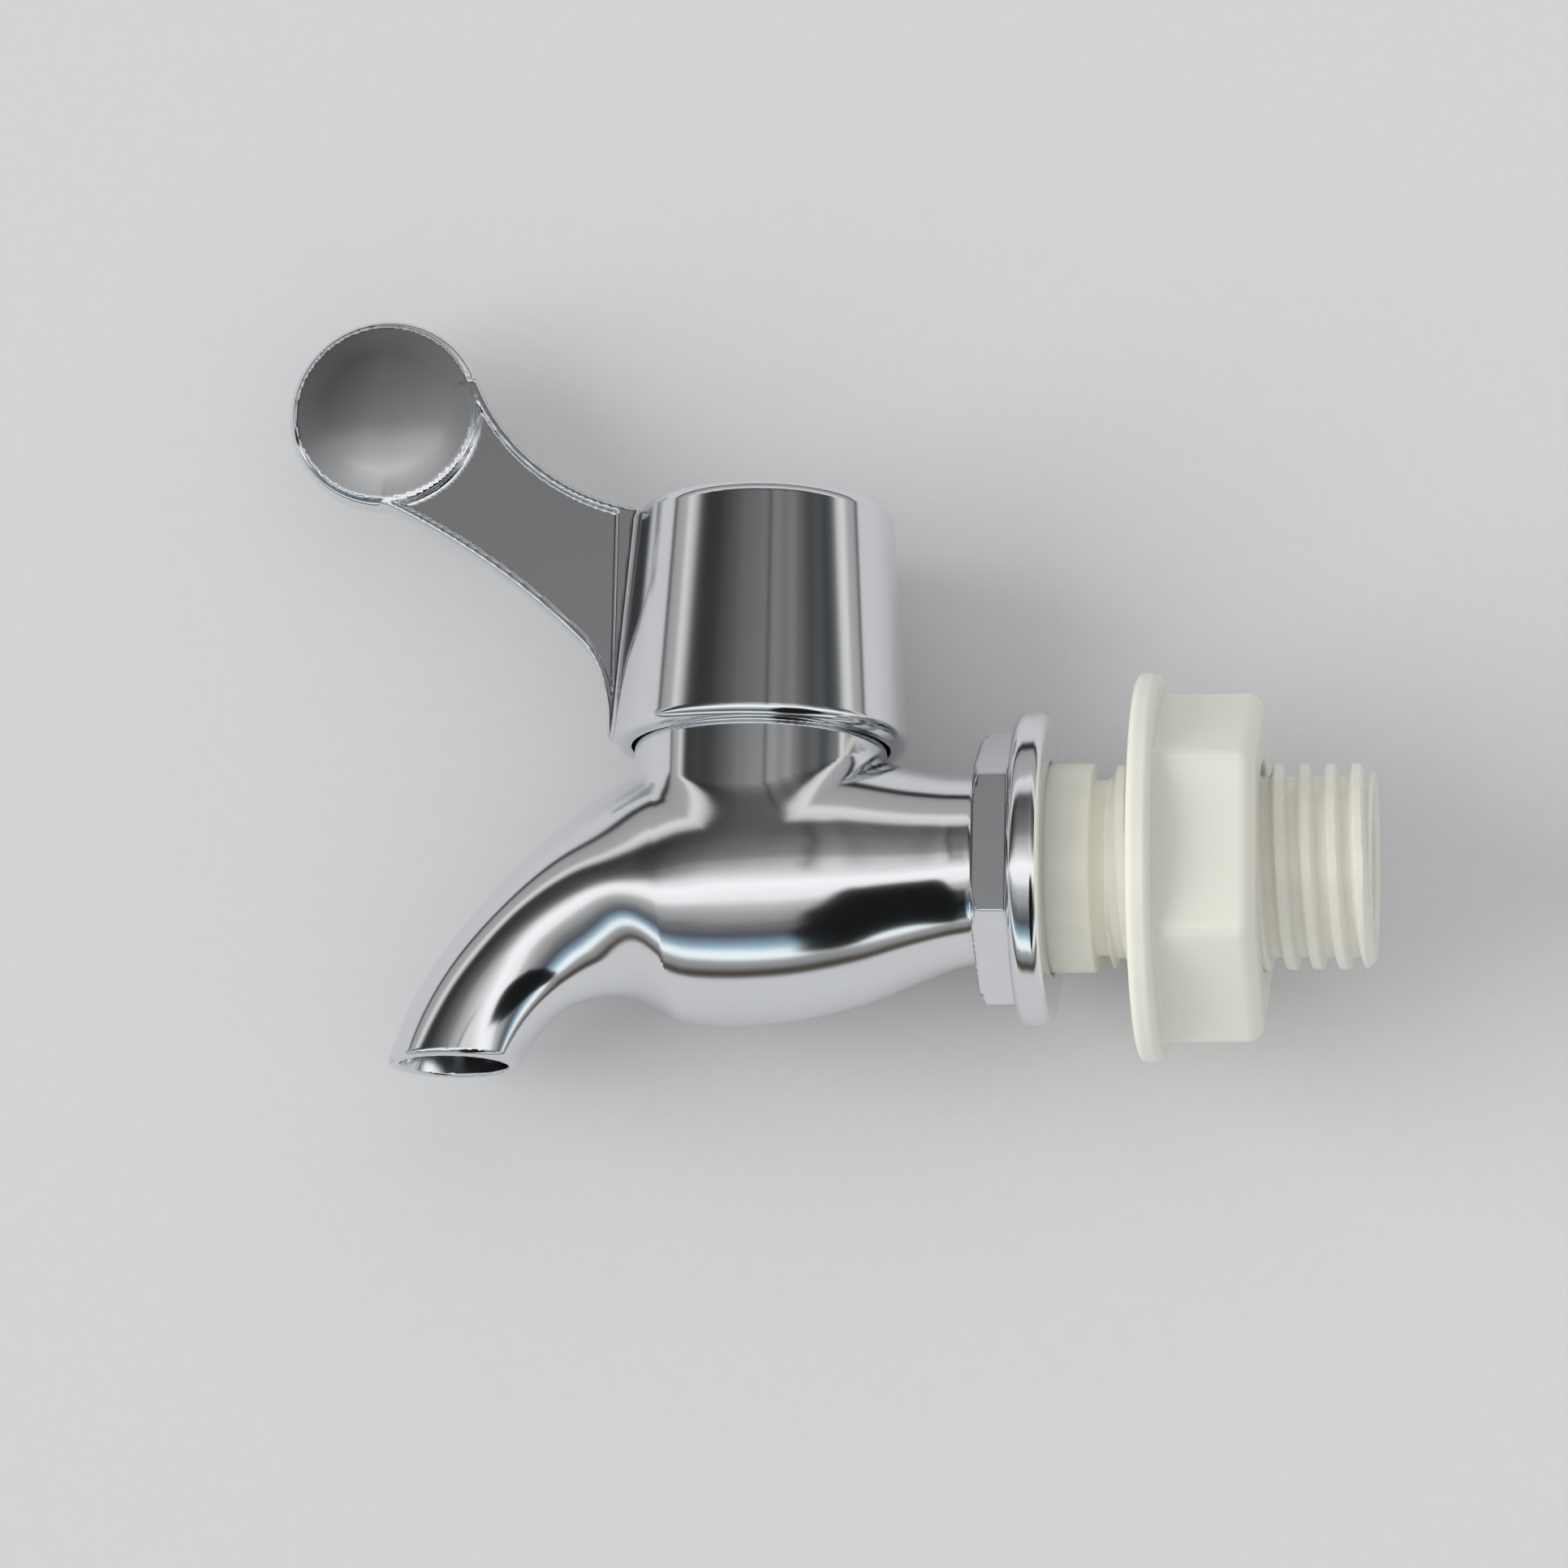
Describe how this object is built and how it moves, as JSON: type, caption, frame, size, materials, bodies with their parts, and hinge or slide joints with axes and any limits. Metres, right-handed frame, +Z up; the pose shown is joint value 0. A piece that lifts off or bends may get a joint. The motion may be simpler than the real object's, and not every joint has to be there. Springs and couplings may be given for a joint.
{
  "type": "dispenser tap",
  "caption": "Quarter-turn lever tap with a bent spout, a domed thumb paddle, and a threaded shank and flanged nut that clamp it through a container wall.",
  "frame": {"origin": "centre of the wall flange's rear face, on the shank's axis", "axes": "+X along the shank, out of its free end; the spout reaches towards -X; +Z up, along the lever's turning axis"},
  "size_m": [0.0857, 0.0298, 0.06],
  "materials": {
    "chrome": "mirror-bright chrome plating",
    "natural_plastic": "cream, slightly translucent moulded plastic",
    "bearing_plastic": "smooth white bearing plastic",
    "black_rubber": "black O-ring rubber",
    "clear_rubber": "milky sealing rubber",
    "brass": "turned brass"
  },
  "bodies": {
    "tap": {"tap_body": "chrome", "threaded_shank": "natural_plastic", "shank_o_ring": "black_rubber", "inlet_seal": "clear_rubber", "thrust_washer": "bearing_plastic", "gland_nut": "brass"},
    "handle": {"lever_handle": "chrome", "valve_plug": "bearing_plastic", "plug_o_ring_upper": "black_rubber", "plug_o_ring_lower": "black_rubber"},
    "nut": {"fixing_nut": "natural_plastic"}
  },
  "joints": [
    {"name": "handle_turn", "type": "hinge", "parent": "tap", "child": "handle", "pos_m": [-0.02285, 0, 0], "axis": [0, 0, 1], "range_deg": [0, 90]},
    {"name": "nut_travel", "type": "slide", "parent": "tap", "child": "nut", "axis": [1, 0, 0], "range_m": [-0.0031, 0.008]}
  ]
}
